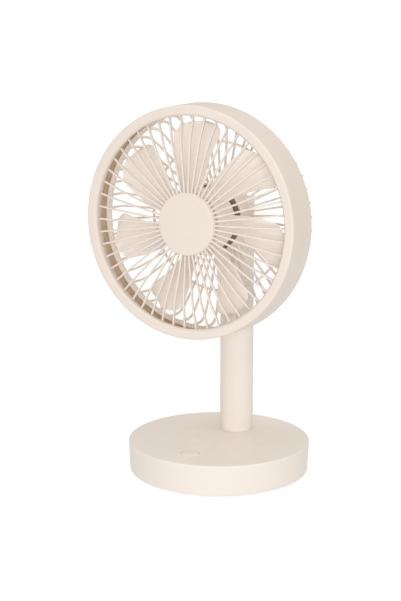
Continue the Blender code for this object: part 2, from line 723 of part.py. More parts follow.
def electronics():
    """Battery cells, boards, switch, charging port and the weight that steadies the base."""
    floor = PLATE_TOP + GAP
    extruded("counterweight", rounded_box(104.0, 46.0, 6.0), flat(0.0, -20.0), floor, floor + 2.7, "steel")
    cell_radius = 9.0
    cell_z = floor + 2.7 + GAP + cell_radius
    for name, y in (("battery_cell_front", -31.0), ("battery_cell_rear", -10.0)):
        cell = [(0.0, -32.5), (cell_radius - 0.6, -32.5), (cell_radius, -31.9), (cell_radius, 31.5),
                (cell_radius - 0.8, 31.5), (cell_radius - 2.6, 32.0), (3.0, 32.0), (3.0, 33.4), (0.0, 33.4)]
        turned(name, cell, across(y, cell_z), "wrap", segments=18)
    extruded("main_board", rounded_box(26.0, 36.0, 2.0), flat(40.0, 28.0), floor, floor + 1.6, "board")
    low = floor + 1.6 + GAP
    extruded("control_chip", rounded_box(9.0, 9.0, 0.4, 1), flat(37.0, 36.0), low, low + 1.4, "dark")
    extruded("power_inductor", rounded_box(7.0, 7.0, 1.4, 2), flat(44.0, 20.0), low, low + 4.0, "grey")
    extruded("port_board", rounded_box(18.0, 17.0, 1.0, 2), flat(0.0, 75.0), floor, floor + 1.0, "board")
    shell_outline = rounded_box(9.0, 3.3, 1.5)
    mouth = rounded_box(8.4, 2.7, 1.2)
    port = extruded("usb_c_port", shell_outline, lambda u, v, h: (u, h, PORT_Z + v), 78.6, 86.0, "steel")
    hollow = extruded("port_hollow", mouth, lambda u, v, h: (u, h, PORT_Z + v), 80.0, 90.0, None, cutter=True)
    combine(port, hollow, "DIFFERENCE")
    extruded("button_board", rounded_box(26.0, 26.0, 1.5, 2), flat(0.0, BUTTON_Y + 2.0), 14.0, 15.6, "board")
    extruded("button_switch", rounded_box(6.0, 6.0, 0.5, 1), flat(0.0, BUTTON_Y), 15.9, 19.2, "dark")


def power_button(joint):
    """A low domed button whose flange stops it from leaving the base."""
    top = BASE_HEIGHT + 0.9
    under = BASE_HEIGHT - BASE_WALL - GAP
    profile = [(0.0, top), (4.2, top - 0.12), (7.2, top - 0.45), (8.2, top - 0.75),
               (BUTTON_RADIUS, top - 1.2), (BUTTON_RADIUS, under), (10.4, under), (10.4, under - 1.4),
               (2.4, under - 1.4), (2.4, 20.6), (0.0, 20.6)]
    turned("power_button", profile, upright(0.0, BUTTON_Y), "cream", joint)


def button_spring():
    """A small coil spring between the switch's board and the button's flange."""
    turns, per_turn, around = 3.0, 10, 4
    coil, wire = 6.0, 0.45
    low, high = 15.6 + GAP + wire, BASE_HEIGHT - BASE_WALL - 1.7 - GAP - wire
    count = int(turns * per_turn) + 1
    points = []
    for k in range(count):
        share = k / (count - 1)
        angle = 2 * math.pi * turns * share
        z = low + (high - low) * share
        for j in range(around):
            bend = 2 * math.pi * j / around
            radius = coil + wire * math.cos(bend)
            points.append((radius * math.cos(angle), BUTTON_Y + radius * math.sin(angle),
                           z + wire * math.sin(bend)))
    faces = []
    for k in range(count - 1):
        for j in range(around):
            n = (j + 1) % around
            faces.append([k * around + j, k * around + n, (k + 1) * around + n, (k + 1) * around + j])
    faces.append(list(range(around)))
    faces.append(list(range((count - 1) * around, count * around)))
    make("button_spring", points, faces, "steel")


def clear_scene():
    """Remove the objects that a new file starts with."""
    for thing in list(bpy.data.objects):
        bpy.data.objects.remove(thing, do_unlink=True)


def build():
    """Build the whole fan."""
    clear_scene()
    post_joint = empty("post_axis", (0.0, POST_Y, BASE_HEIGHT))
    head_joint = empty("head_axis", (0.0, POST_Y, PIVOT_Z), post_joint)
    spin_joint = empty("impeller_axis", (0.0, RIM_Y, PIVOT_Z), head_joint)
    pinion_joint = empty("pinion_axis", (PINION_X, POST_Y, GEAR_LOW))
    button_joint = empty("button_axis", (0.0, BUTTON_Y, BASE_HEIGHT))

    base_shell()
    base_plate()
    swivel_bush()
    electronics()
    button_spring()
    power_button(button_joint)
    oscillation_drive(post_joint, pinion_joint)

    post_tube(post_joint)
    post_fork(post_joint)
    post_foot(post_joint)

    front_shell(head_joint)
    front_grille(head_joint)
    hub_cap(head_joint)
    guard = rear_grille(head_joint)
    for number, angle in enumerate(MOTOR_SCREW_ANGLES):
        drill(guard, number, motor_screw_place(angle), 1.75, 60.0, 72.0, head_joint)
    motor_bracket(head_joint)
    motor_screws(head_joint)
    stator_core(head_joint)
    stator_windings(head_joint)
    motor_parts(head_joint)
    rear_cover(head_joint)
    tilt_pin_and_washers(head_joint)

    impeller(spin_joint)
    rotor(spin_joint)


build()
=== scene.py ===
"""Desk fan: the fine visual model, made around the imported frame.

Lengths are in millimetres until a mesh is made. Places in the head are given as
(radius, depth): radius from the impeller's axis, depth behind the front rim's plane.
"""
import json
import math

import bmesh
import bpy
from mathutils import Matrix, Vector


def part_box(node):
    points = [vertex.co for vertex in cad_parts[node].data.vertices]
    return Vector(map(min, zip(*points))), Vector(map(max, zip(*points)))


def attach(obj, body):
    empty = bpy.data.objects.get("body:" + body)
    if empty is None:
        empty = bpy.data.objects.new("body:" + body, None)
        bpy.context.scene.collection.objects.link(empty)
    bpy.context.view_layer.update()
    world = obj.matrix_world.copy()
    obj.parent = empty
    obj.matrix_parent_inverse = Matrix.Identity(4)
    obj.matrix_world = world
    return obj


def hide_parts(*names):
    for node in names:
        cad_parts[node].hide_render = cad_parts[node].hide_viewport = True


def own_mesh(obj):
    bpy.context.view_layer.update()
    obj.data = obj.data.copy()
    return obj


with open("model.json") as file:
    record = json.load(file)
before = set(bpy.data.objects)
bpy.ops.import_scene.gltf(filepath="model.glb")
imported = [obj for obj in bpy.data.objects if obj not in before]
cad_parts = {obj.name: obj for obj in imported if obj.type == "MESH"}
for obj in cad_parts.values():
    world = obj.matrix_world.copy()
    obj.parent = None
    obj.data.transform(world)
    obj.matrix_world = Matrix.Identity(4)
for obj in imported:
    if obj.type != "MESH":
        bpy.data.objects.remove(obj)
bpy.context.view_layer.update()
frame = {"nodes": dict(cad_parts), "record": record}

MM = 0.001


# Driving sizes, read from the frame

def span(node, axis):
    """Lowest and highest place of a node along an axis, in millimetres."""
    low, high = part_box(node)
    return low[axis] / MM, high[axis] / MM


def half_width(node, axis=0):
    """Half a node's size along an axis, in millimetres."""
    low, high = span(node, axis)
    return (high - low) / 2


def level_middle(node):
    """The middle of a node seen from above, in millimetres."""
    return [sum(span(node, axis)) / 2 for axis in (0, 1)]


def joint_place(name):
    """A joint's place in millimetres."""
    for joint in frame["record"]["behaviour"]["joints"]:
        if joint["name"] == name:
            return Vector(joint["pos_m"]) / MM


SPIN = joint_place("impeller_spin")
TILT = joint_place("head_tilt")
HEAD_Z = SPIN.z
POST_Y = TILT.y
PIVOT_Z = TILT.z
RIM_Y, DRUM_BACK_Y = span("front_shell", 1)
HEAD_BACK_RADIUS = half_width("front_shell")
DRUM_FLARE = 1.3
HEAD_RADIUS = HEAD_BACK_RADIUS - DRUM_FLARE
DRUM_SETBACK = 3.5  # how far the fine drum's back edge is in front of the CAD node's
DRUM_DEPTH = DRUM_BACK_Y - RIM_Y - DRUM_SETBACK
DRUM_WALL = 2.4
POST_RADIUS = half_width("post_tube")
POST_TOP = span("post_tube", 2)[1]
POST_BORE = 13.8
FORK_TOP = span("post_fork", 2)[1]
BASE_RADIUS = half_width("base_shell")
BASE_FOOT, BASE_TOP = span("base_shell", 2)
BUTTON_Y = sum(span("power_button", 1)) / 2
BUTTON_TOP = span("power_button", 2)[1]
HUB_RADIUS = half_width("hub_cap")
RIB_COUNT = 50
BLADE_COUNT = 7
CROWN_RADIUS = FORK_TOP - PIVOT_Z
PIN_RADIUS = 2.5
PIN_HOLE = 2.8
TONGUE_HALF_WIDTH = 4.6
SLOT_HALF_WIDTH = 6.2
SCREW_COUNT = 4
SMOOTH_ANGLE = math.radians(35)


# Placing: each returns a function from a profile point and an angle to a place in millimetres

def upright(x=0.0, y=0.0):
    """A vertical axis through (x, y); profile points are (radius, z)."""
    return lambda radius, z, angle: (x + radius * math.cos(angle), y + radius * math.sin(angle), z)


def in_head():
    """The impeller's axis, along Y; profile points are (radius, depth)."""
    return lambda radius, depth, angle: (radius * math.cos(angle), RIM_Y + depth,
                                         HEAD_Z + radius * math.sin(angle))


def across():
    """The tilt pin's axis, along X; profile points are (radius, x)."""
    return lambda radius, x, angle: (x, POST_Y + radius * math.cos(angle),
                                     PIVOT_Z + radius * math.sin(angle))


# Shapes: each returns (points, faces)

def soften(profile, steps=5):
    """Round a closed profile's corners. A corner is (a, b) or (a, b, length of the rounding)."""
    rounded = []
    count = len(profile)
    for i, corner in enumerate(profile):
        here = Vector(corner[:2])
        reach = corner[2] if len(corner) > 2 else 0.0
        if not reach:
            rounded.append(tuple(here))
            continue
        before = Vector(profile[i - 1][:2]) - here
        after = Vector(profile[(i + 1) % count][:2]) - here
        start = here + before.normalized() * min(reach, before.length * 0.48)
        end = here + after.normalized() * min(reach, after.length * 0.48)
        for k in range(steps + 1):
            s = k / steps
            rounded.append(tuple(start * (1 - s) ** 2 + here * 2 * s * (1 - s) + end * s ** 2))
    return rounded


def turned(profile, place, segments=96, waves=None):
    """A closed profile turned about an axis, where radius 0 is a pole.

    waves(radius, angle) is added to the radius.
    """
    points = []
    rows = []
    for radius, height in profile:
        if radius <= 0:
            rows.append([len(points)])
            points.append(place(0.0, height, 0.0))
            continue
        rows.append(list(range(len(points), len(points) + segments)))
        for k in range(segments):
            angle = 2 * math.pi * k / segments
            shift = waves(radius, angle) if waves else 0.0
            points.append(place(radius + shift, height, angle))
    faces = []
    for i, row in enumerate(rows):
        other = rows[(i + 1) % len(rows)]
        for k in range(segments):
            n = (k + 1) % segments
            corners = [row[k % len(row)], row[n % len(row)]]
            corners += [other[n % len(other)], other[k % len(other)]]
            face = list(dict.fromkeys(corners))
            if len(face) > 2:
                faces.append(face)
    return points, faces


def swept(rings):
    """Rings of equal length joined in order, with both ends closed."""
    size = len(rings[0])
    points = [p for ring in rings for p in ring]
    faces = []
    for r in range(len(rings) - 1):
        for k in range(size):
            n = (k + 1) % size
            faces.append([r * size + k, r * size + n, (r + 1) * size + n, (r + 1) * size + k])
    faces.append(list(range(size)))
    faces.append(list(range((len(rings) - 1) * size, len(rings) * size)))
    return points, faces


def pushed(outline, place, low, high):
    """An outline of (u, v) points pushed from low to high."""
    return swept([[place(u, v, low) for u, v in outline], [place(u, v, high) for u, v in outline]])


def merged(*shapes):
    """Several shapes as one."""
    points = []
    faces = []
    for more_points, more_faces in shapes:
        start = len(points)
        points += more_points
        faces += [[start + i for i in face] for face in more_faces]
    return points, faces


def rounded_box(width, length, corner, steps=6):
    """The outline of a rectangle with round corners, centred on (0, 0)."""
    outline = []
    for quarter, (sx, sy) in enumerate(((1, 1), (-1, 1), (-1, -1), (1, -1))):
        for k in range(steps + 1):
            angle = math.pi / 2 * (quarter + k / steps)
            outline.append((sx * (width / 2 - corner) + corner * math.cos(angle),
                            sy * (length / 2 - corner) + corner * math.sin(angle)))
    return outline


def arc(radius, count, start, end):
    """Points of an arc about (0, 0)."""
    angles = [start + (end - start) * k / (count - 1) for k in range(count)]
    return [(radius * math.cos(a), radius * math.sin(a)) for a in angles]


def flat(x=0.0, y=0.0):
    """Outline points lie level, and are pushed along Z."""
    return lambda u, v, height: (x + u, y + v, height)


def sideways():
    """Outline points lie in the YZ plane about the tilt pin, and are pushed along X."""
    return lambda u, v, x: (x, POST_Y + u, PIVOT_Z + v)


def backwards(x, z):
    """Outline points face the back, and are pushed along Y."""
    return lambda u, v, y: (x + u, y, z + v)


# Objects

def solid(name, shape):
    """A closed mesh object, smooth with sharp corners."""
    points, faces = shape
    mesh = bpy.data.meshes.new(name)
    mesh.from_pydata([Vector(p) * MM for p in points], [], faces)
    built = bmesh.new()
    built.from_mesh(mesh)
    bmesh.ops.recalc_face_normals(built, faces=built.faces)
    built.to_mesh(mesh)
    built.free()
    thing = bpy.data.objects.new(name, mesh)
    bpy.context.scene.collection.objects.link(thing)
    return thing


def carve(thing, tools, bevel=0.0, segments=3, angle=40):
    """Apply Boolean tools, (operation, shape) pairs, and then a bevel on the sharp edges."""
    used = []
    for operation, shape in tools:
        tool = solid(thing.name + "_tool", shape)
        used.append(tool)
        step = thing.modifiers.new("cut", "BOOLEAN")
        step.operation = operation
        step.object = tool
        step.solver = "EXACT"
    if bevel:
        step = thing.modifiers.new("edges", "BEVEL")
        step.width = bevel * MM
        step.segments = segments
        step.limit_method = "ANGLE"
        step.angle_limit = math.radians(angle)
        step.use_clamp_overlap = True
    graph = bpy.context.evaluated_depsgraph_get()
    made = bpy.data.meshes.new_from_object(thing.evaluated_get(graph))
    thing.modifiers.clear()
    thing.data = made
    for tool in used:
        bpy.data.objects.remove(tool, do_unlink=True)
    return thing


def dress(thing, body, slot, look, *nodes):
    """Shade a piece, give it its material, let it ride on its body and stand for its CAD nodes."""
    thing.data.shade_smooth()
    thing.data.set_sharp_from_angle(angle=SMOOTH_ANGLE)
    normals = thing.modifiers.new("normals", "WEIGHTED_NORMAL")
    normals.keep_sharp = True
    thing.data.materials.clear()
    thing.data.materials.append(look)
    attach(thing, body)
    if nodes:
        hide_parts(*nodes)
    return thing


# Materials

class Nodes:
    """A short way to write a Principled material's nodes."""

    def __init__(self, name):
        self.material = bpy.data.materials.new(name)
        self.material.use_nodes = True
        self.tree = self.material.node_tree
        self.shader = self.tree.nodes["Principled BSDF"]
        self.place = self.add("ShaderNodeTexCoord").outputs["Object"]

    def add(self, kind, links=(), **settings):
        """Add a node; settings are its properties, links its input sockets by name or number."""
        node = self.tree.nodes.new(kind)
        for key, value in settings.items():
            setattr(node, key, value)
        for socket, value in dict(links).items():
            self.put(node.inputs[socket], value)
        return node

    def put(self, socket, value):
        """Link a socket, or set its value."""
        if isinstance(value, bpy.types.NodeSocket):
            self.tree.links.new(value, socket)
        else:
            socket.default_value = value

    def stretched(self, scale):
        """Object coordinates with a scale for each axis."""
        return self.add("ShaderNodeMapping", {"Vector": self.place, "Scale": scale}).outputs[0]

    def noise(self, scale, detail=3.0, vector=None):
        """Noise between 0 and 1."""
        links = {"Vector": vector or self.place, "Scale": scale, "Detail": detail}
        return self.add("ShaderNodeTexNoise", links).outputs["Fac"]

    def between(self, value, low, high, start=0.35, end=0.65):
        """Spread a value over a range."""
        links = {"Value": value, "From Min": start, "From Max": end, "To Min": low, "To Max": high}
        return self.add("ShaderNodeMapRange", links).outputs["Result"]

    def blend(self, share, first, second):
        """Mix two colours."""
        links = {0: share, 6: first, 7: second}
        return self.add("ShaderNodeMix", links, data_type="RGBA").outputs[2]

    def bump(self, height, strength, distance, under=None):
        """A bump, on top of another one."""
        links = {"Height": height, "Strength": strength, "Distance": distance}
        if under:
            links["Normal"] = under
        return self.add("ShaderNodeBump", links).outputs["Normal"]

    def edges(self):
        """1 on convex edges, 0 elsewhere."""
        geometry = self.add("ShaderNodeNewGeometry")
        return self.between(geometry.outputs["Pointiness"], 0.0, 1.0, 0.51, 0.58)

    def finish(self, colour, roughness, normal, metallic=0.0, specular=0.5, coat=0.0):
        """Set the shader's inputs."""
        self.put(self.shader.inputs["Base Color"], colour)
        self.put(self.shader.inputs["Roughness"], roughness)
        self.put(self.shader.inputs["Normal"], normal)
        self.shader.inputs["Metallic"].default_value = metallic
        self.shader.inputs["Specular IOR Level"].default_value = specular
        self.shader.inputs["Coat Weight"].default_value = coat
        return self.material


def shade(colour, factor):
    """A colour made darker or lighter."""
    return (*(min(1.0, c * factor) for c in colour), 1.0)


def moulded(name, colour, roughness, grain=0.05):
    """Moulded plastic: faint flow mottling, a fine spark-eroded grain, paler rubbed edges."""
    n = Nodes(name)
    flow = n.noise(14.0, 4.0)
    cloud = n.noise(90.0, 5.0)
    mottled = n.blend(n.between(flow, 0.0, 1.0), shade(colour, 0.99), shade(colour, 1.01))
    mottled = n.blend(n.between(cloud, 0.0, 0.22), mottled, shade(colour, 0.965))
    worn = n.add("ShaderNodeMath", {0: n.edges(), 1: n.between(n.noise(160.0, 6.0), 0.15, 0.6)},
                 operation="MULTIPLY").outputs[0]
    tinted = n.blend(worn, mottled, shade(colour, 1.10))
    rough = n.between(n.noise(60.0, 5.0), roughness - 0.05, roughness + 0.06)
    fine = n.bump(n.noise(2600.0, 2.0), grain, 0.00006)
    waves = n.bump(n.noise(30.0, 2.0), 0.05, 0.0004, fine)
    return n.finish(tinted, rough, waves)


def metal(name, colour, roughness=0.3, stretch=(1.0, 1.0, 40.0)):
    """Worked metal: fine drawn lines, small stains and bright edges."""
    n = Nodes(name)
    lines = n.noise(900.0, 3.0, n.stretched(stretch))
    stains = n.noise(220.0, 5.0)
    tint = n.blend(n.between(stains, 0.0, 1.0), shade(colour, 0.82), shade(colour, 1.06))
    tint = n.blend(n.edges(), tint, shade(colour, 1.3))
    rough = n.between(lines, roughness - 0.08, roughness + 0.12)
    return n.finish(tint, rough, n.bump(lines, 0.12, 0.00005), metallic=1.0)


def rubber_look(name, colour):
    """Matte rubber with a fine stipple and some dust."""
    n = Nodes(name)
    dust = n.between(n.noise(120.0, 6.0), 0.0, 0.35)
    tint = n.blend(dust, shade(colour, 1.0), shade((0.30, 0.28, 0.26), 1.0))
    rough = n.between(n.noise(300.0, 4.0), 0.7, 0.92)
    return n.finish(tint, rough, n.bump(n.noise(3000.0), 0.25, 0.0001), specular=0.3)


def shade_band_look(name, colour):
    """Painted shade: dark brown with mottled fibres and a soft nap, for the band of shade inside
    the drum.
    """
    n = Nodes(name)
    fibres = n.between(n.noise(700.0, 5.0), 0.0, 1.0)
    tint = n.blend(fibres, shade(colour, 0.86), shade(colour, 1.12))
    rough = n.between(n.noise(200.0), 0.85, 0.95)
    return n.finish(tint, rough, n.bump(n.noise(1800.0, 4.0), 0.5, 0.0002), specular=0.2)


def board_look(name):
    """A circuit board: solder mask with copper tracks under it and small tinned pads."""
    n = Nodes(name)
    tracks = n.add("ShaderNodeTexBrick", {"Vector": n.place, "Scale": 180.0, "Mortar Size": 0.03},
                   offset=0.37, squash=1.6).outputs["Fac"]
    pads = n.add("ShaderNodeTexVoronoi", {"Vector": n.place, "Scale": 420.0}).outputs["Distance"]
    dot = n.between(pads, 1.0, 0.0, 0.16, 0.20)
    mask = n.blend(tracks, (0.02, 0.13, 0.055, 1.0), (0.05, 0.24, 0.09, 1.0))
    tint = n.blend(dot, mask, (0.62, 0.60, 0.55, 1.0))
    rough = n.between(n.noise(200.0), 0.25, 0.42)
    return n.finish(tint, rough, n.bump(tracks, 0.2, 0.00005), coat=0.3)


def winding_look(name):
    """Enamelled copper wire wound side by side."""
    n = Nodes(name)
    wires = n.add("ShaderNodeTexWave", {"Vector": n.place, "Scale": 420.0, "Distortion": 0.6},
                  wave_type="RINGS", rings_direction="Y").outputs["Fac"]
    tint = n.blend(wires, (0.25, 0.075, 0.02, 1.0), (0.80, 0.34, 0.13, 1.0))
    rough = n.between(n.noise(400.0), 0.22, 0.4)
    return n.finish(tint, rough, n.bump(wires, 0.6, 0.0002), metallic=0.9, coat=0.4)


def film_look(name, colour):
    """Glossy shrink film with faint wrinkles."""
    n = Nodes(name)
    cloud = n.between(n.noise(50.0, 4.0), 0.0, 1.0)
    tint = n.blend(cloud, shade(colour, 0.85), shade(colour, 1.12))
    wrinkles = n.noise(250.0, 3.0, n.stretched((1.0, 6.0, 6.0)))
    rough = n.between(n.noise(90.0), 0.22, 0.36)
    return n.finish(tint, rough, n.bump(wrinkles, 0.2, 0.0002), coat=0.2)


CREAM = (0.800, 0.735, 0.675)
HEAD_CREAM = (0.765, 0.685, 0.620)
SHELL = moulded("shell_plastic", CREAM, 0.42)
DRUM = moulded("drum_plastic", HEAD_CREAM, 0.46)
GUARD = moulded("guard_plastic", HEAD_CREAM, 0.42)
BLADES = moulded("blade_plastic", (0.920, 0.850, 0.785), 0.40)
REAR_GUARD = moulded("rear_guard_plastic", (0.870, 0.795, 0.725), 0.42)
DISC = moulded("disc_plastic", (0.765, 0.688, 0.628), 0.36, grain=0.03)
KEY = moulded("key_plastic", CREAM, 0.33, grain=0.02)
# Brown plastic; on the motor can its brown is partly painted shade, for the shade deep behind the
# impeller.
BROWN_PLASTIC_AND_SHADE = moulded("grey_plastic", (0.250, 0.195, 0.150), 0.5)
WHITE = moulded("white_plastic", (0.80, 0.80, 0.77), 0.38)
DARK = moulded("dark_plastic", (0.03, 0.03, 0.032), 0.5)
STEEL = metal("steel", (0.56, 0.57, 0.58))
TURNED_STEEL = metal("turned_steel", (0.60, 0.61, 0.62), 0.24, (40.0, 1.0, 40.0))
MAGNET = metal("sintered_magnet", (0.09, 0.09, 0.095), 0.55, (1.0, 1.0, 1.0))
COPPER = winding_look("copper_wire")
BOARD = board_look("circuit_board")
RUBBER = rubber_look("foot_rubber", (0.10, 0.095, 0.09))
# Painted shade: this brown band on the drum's inner wall stands in for the shade there.
SHADE_BAND_LOOK = shade_band_look("painted_shade_band", (0.590, 0.450, 0.290))
WRAP = film_look("cell_film", (0.05, 0.17, 0.42))


# Head

def drum():
    """The round shell of the head and its flat front rim with a chamfered mouth."""
    mouth = 96.4
    inner = HEAD_RADIUS - DRUM_WALL
    profile = soften([(mouth, 2.2, 0.6), (mouth + 1.9, 0.0, 0.5), (HEAD_RADIUS - 0.2, 0.0, 2.6),
                      (HEAD_RADIUS, 4.0, 0.5), (HEAD_BACK_RADIUS, DRUM_DEPTH, 0.7),
                      (HEAD_BACK_RADIUS - DRUM_WALL, DRUM_DEPTH, 0.7),
                      (inner, DRUM_DEPTH - 4.0, 1.0), (inner, 3.2, 0.6),
                      (mouth + 2.0, 3.2, 0.4), (mouth + 2.0, 4.3, 0.4), (mouth, 4.3, 0.4)])
    thing = solid("drum", turned(profile, in_head(), 256))
    dress(thing, "head", "cream_shell", DRUM, "front_shell")


def drum_shade_band():
    """A thin strip of painted shade on the drum's inner wall, just in front of the rear guard's
    collar: brown, standing in for the shade there.
    """
    wall = HEAD_RADIUS - DRUM_WALL
    low, high = 20.6, 26.8
    profile = soften([(wall - 0.7, low, 0.25), (wall - 0.1, low), (wall - 0.1, high),
                      (wall - 0.7, high, 0.25)], 2)
    dress(solid("drum_shade_band", turned(profile, in_head(), 200)), "head", "cream_shell", SHADE_BAND_LOOK)


def smooth_step(value):
    """0 below 0, 1 above 1, and a smooth rise between."""
    t = min(1.0, max(0.0, value))
    return t * t * (3 - 2 * t)


def curve_through(corners, steps):
    """A smooth curve through (radius, depth) points, evenly divided between them."""
    ends = [tuple(2 * a - b for a, b in zip(corners[0], corners[1]))] + list(corners)
    ends.append(tuple(2 * a - b for a, b in zip(corners[-1], corners[-2])))
    line = []
    for i in range(1, len(ends) - 2):
        for k in range(steps):
            t = k / steps
            line.append(tuple(0.5 * (2 * b + (c - a) * t + (2 * a - 5 * b + 4 * c - d) * t ** 2
                                     + (3 * b - a - 3 * c + d) * t ** 3)
                              for a, b, c, d in zip(*ends[i - 1:i + 3])))
    line.append(tuple(corners[-1]))
    return line


RIB_SIDES = 12
RIB_SQUARENESS = 0.55  # 1 is an ellipse, 0 a rectangle
RIB_SECTION = [(math.copysign(abs(math.cos(a)) ** RIB_SQUARENESS, math.cos(a)),
                math.copysign(abs(math.sin(a)) ** RIB_SQUARENESS, math.sin(a)))
               for a in (2 * math.pi * (k + 0.5) / RIB_SIDES for k in range(RIB_SIDES))]
FRONT_RIB_PHASE = math.radians(0.9)
REAR_RIB_PHASE = math.radians(4.1)


def rib(line, width, thickness, angle):
    """A rib along a line of (radius, depth) points; width and thickness are (start, end)."""
    rings = []
    last = len(line) - 1
    for i, point in enumerate(line):
        along = Vector(line[min(i + 1, last)]) - Vector(line[max(i - 1, 0)])
        normal = Vector((-along.y, along.x)).normalized()
        share = i / last
        wide = (width[0] + (width[1] - width[0]) * share) / 2
        thick = (thickness[0] + (thickness[1] - thickness[0]) * share) / 2
        ring = []
        for u, v in RIB_SECTION:
            radius = point[0] + normal.x * v * thick
            depth = point[1] + normal.y * v * thick
            side = u * wide
            ring.append((radius * math.cos(angle) - side * math.sin(angle), RIM_Y + depth,
                         HEAD_Z + radius * math.sin(angle) + side * math.cos(angle)))
        rings.append(ring)
    return swept(rings)


def rib_angles(phase):
    """The angles of all ribs of a guard."""
    return [phase + 2 * math.pi * k / RIB_COUNT for k in range(RIB_COUNT)]


def front_guard():
    """Straight ribs that curve back at the rim, a rim behind the shell's lip and a hub plate."""
    thick = 2.6
    front = 1.2
    drop = 3.7
    radii = [26.5, 32, 42, 54, 64, 72, 78, 83, 87, 90.5, 93.5, 96.0, 98.5]
    line = [(r, front + thick / 2 + drop * smooth_step((r - 70) / 28)) for r in radii]
    ribs = [rib(line, (1.75, 1.85), (thick, thick), a) for a in rib_angles(FRONT_RIB_PHASE)]
    rim = soften([(97.0, 4.8, 0.5), (102.0, 4.8, 0.5), (102.0, 7.6, 0.5), (97.0, 7.6, 0.5)], 3)
    hub = soften([(8.0, 1.5, 0.3), (28.8, 1.5, 1.5), (28.8, 5.1, 0.6), (8.0, 5.1, 0.3)], 4)
    shape = merged(turned(rim, in_head(), 200), turned(hub, in_head(), 96), *ribs)
    dress(solid("front_guard", shape), "head", "cream_guard", GUARD, "front_grille")


def hub_disc():
    """The slightly domed plate over the middle of the front guard."""
    edge = HUB_RADIUS
    profile = [(0.0, -0.18), (8.0, -0.165), (16.0, -0.12), (22.0, -0.06)]
    profile += soften([(edge - 2.0, 0.0), (edge, 0.3, 0.8), (edge, 1.1, 0.2), (7.6, 1.1),
                       (7.6, 4.2, 0.4)])
    profile.append((0.0, 4.2))
    dress(solid("hub_disc", turned(profile, in_head(), 160)), "head", "badge", DISC, "hub_cap")


def rear_guard():
    """The rear basket: a collar in the drum, bent ribs, a hoop and a cup around the motor's can."""
    line = curve_through([(100.8, 30.0), (101.1, 42.0), (100.9, 48.5), (98.4, 54.0), (92.0, 57.8),
                          (81.0, 60.7), (70.6, 62.9), (52.0, 65.0), (30.0, 66.4)], 4)
    ribs = [rib(line, (2.0, 1.9), (2.7, 2.8), a) for a in rib_angles(REAR_RIB_PHASE)]
    collar = soften([(101.4, 27.2, 0.3), (102.2, 27.2, 0.3), (102.2, 34.0, 0.6), (99.5, 34.0, 0.6),
                     (100.3, 30.5, 1.0)], 3)
    hoop = soften([(69.6, 61.9, 0.5), (71.5, 61.6, 0.5), (71.7, 64.0, 0.6), (69.7, 64.3, 0.6)], 3)
    plate = soften([(16.0, 65.0, 0.3), (31.1, 65.0, 0.2), (31.1, 47.0, 0.4), (33.3, 47.0, 0.9),
                    (33.3, 64.6, 0.3), (34.0, 65.2, 0.2), (34.0, 68.0, 0.6), (16.0, 68.0, 0.3)], 3)
    shape = merged(turned(collar, in_head(), 200), turned(hoop, in_head(), 200),
                   turned(plate, in_head(), 120), *ribs)
    dress(solid("rear_guard", shape), "head", "cream_guard", REAR_GUARD, "rear_grille")


def motor_can():
    """The can behind the impeller that carries the motor, with its bearing tube; its brownish
    colour is partly painted shade, browner and darker for the shade deep behind the impeller.
    """
    profile = soften([(5.3, 18.5, 0.3), (8.0, 18.5, 0.5), (8.0, 45.0, 0.8), (30.5, 45.0, 1.4),
                      (30.5, 64.6, 0.4), (21.0, 64.6, 0.3), (21.0, 60.6, 0.3), (28.0, 60.6, 0.5),
                      (28.0, 47.4, 0.5), (5.3, 47.4, 0.3)])
    dress(solid("motor_can", turned(profile, in_head(), 128)), "head", "grey_plastic", BROWN_PLASTIC_AND_SHADE,
          "motor_bracket")


def rear_dome():
    """The dome behind the motor with a stepped rim, and the tongue that hangs on the tilt pin."""
    front = 68.3
    profile = soften([(33.2, front, 0.3), (33.2, 71.8, 1.0), (31.2, 74.8, 2.0), (24.0, 77.4, 3.0)])
    profile += [(14.0, 78.2), (0.0, 78.6), (0.0, 76.0)]
    profile += soften([(23.0, 75.2, 2.0), (29.2, 72.6, 1.0), (30.4, front, 0.2)])
    dome = solid("rear_dome", turned(profile, in_head(), 144))
    reach = POST_Y - RIM_Y - 77.2
    outline = [(-reach, -12.0)] + arc(9.0, 33, -math.pi / 2, math.pi / 2) + [(-reach, 13.0)]
    tongue = pushed(outline, sideways(), -TONGUE_HALF_WIDTH, TONGUE_HALF_WIDTH)
    hole = turned([(0.0, -9.0), (PIN_HOLE, -9.0), (PIN_HOLE, 9.0), (0.0, 9.0)], across(), 48)
    carve(dome, [("UNION", tongue), ("DIFFERENCE", hole)], bevel=0.7, angle=50)
    dress(dome, "head", "cream_shell", SHELL, "rear_cover")


def tilt_hardware():
    """The cross pin with a hexagon socket in each end, and the friction washers."""
    half = 15.4
    pin = soften([(0.0, -half), (PIN_RADIUS, -half, 0.5), (PIN_RADIUS, half, 0.5), (0.0, half)], 3)
    piece = solid("cross_pin", turned(pin, across(), 48))
    key = 1.25
    socket = [(key * math.cos(math.pi * k / 3), key * math.sin(math.pi * k / 3)) for k in range(6)]
    ends = [("DIFFERENCE", pushed(socket, sideways(), side * (half - 1.4), side * (half + 2.0)))
            for side in (-1, 1)]
    dress(carve(piece, ends), "head", "steel", TURNED_STEEL, "tilt_pin")
    for node in ("friction_washer_left", "friction_washer_right"):
        low, high = span(node, 0)
        ring = soften([(PIN_HOLE, low, 0.15), (8.4, low, 0.2), (8.4, high, 0.2),
                       (PIN_HOLE, high, 0.15)], 2)
        washer = solid(node + "_fine", turned(ring, across(), 64))
        dress(washer, "head", "white_plastic", WHITE, node)


# Impeller

BLADE_ROOT = 28.4
BLADE_TIP = 91.0
BLADE_DEPTH = 23.5
BLADE_HALF_ANGLE = math.radians(15.0)
BLADE_PHASE = math.radians(-9.4)
BLADE_PITCH = 15.0
BLADE_TWIST = 5.0
BLADE_HOLLOW = 1.4
BLADE_HALF_THICK = 0.9
ROOT_THICK = 1.4
THINNEST = 0.12
TIP_START = 0.80
BLADE_ROWS = 22
BLADE_COLUMNS = 13


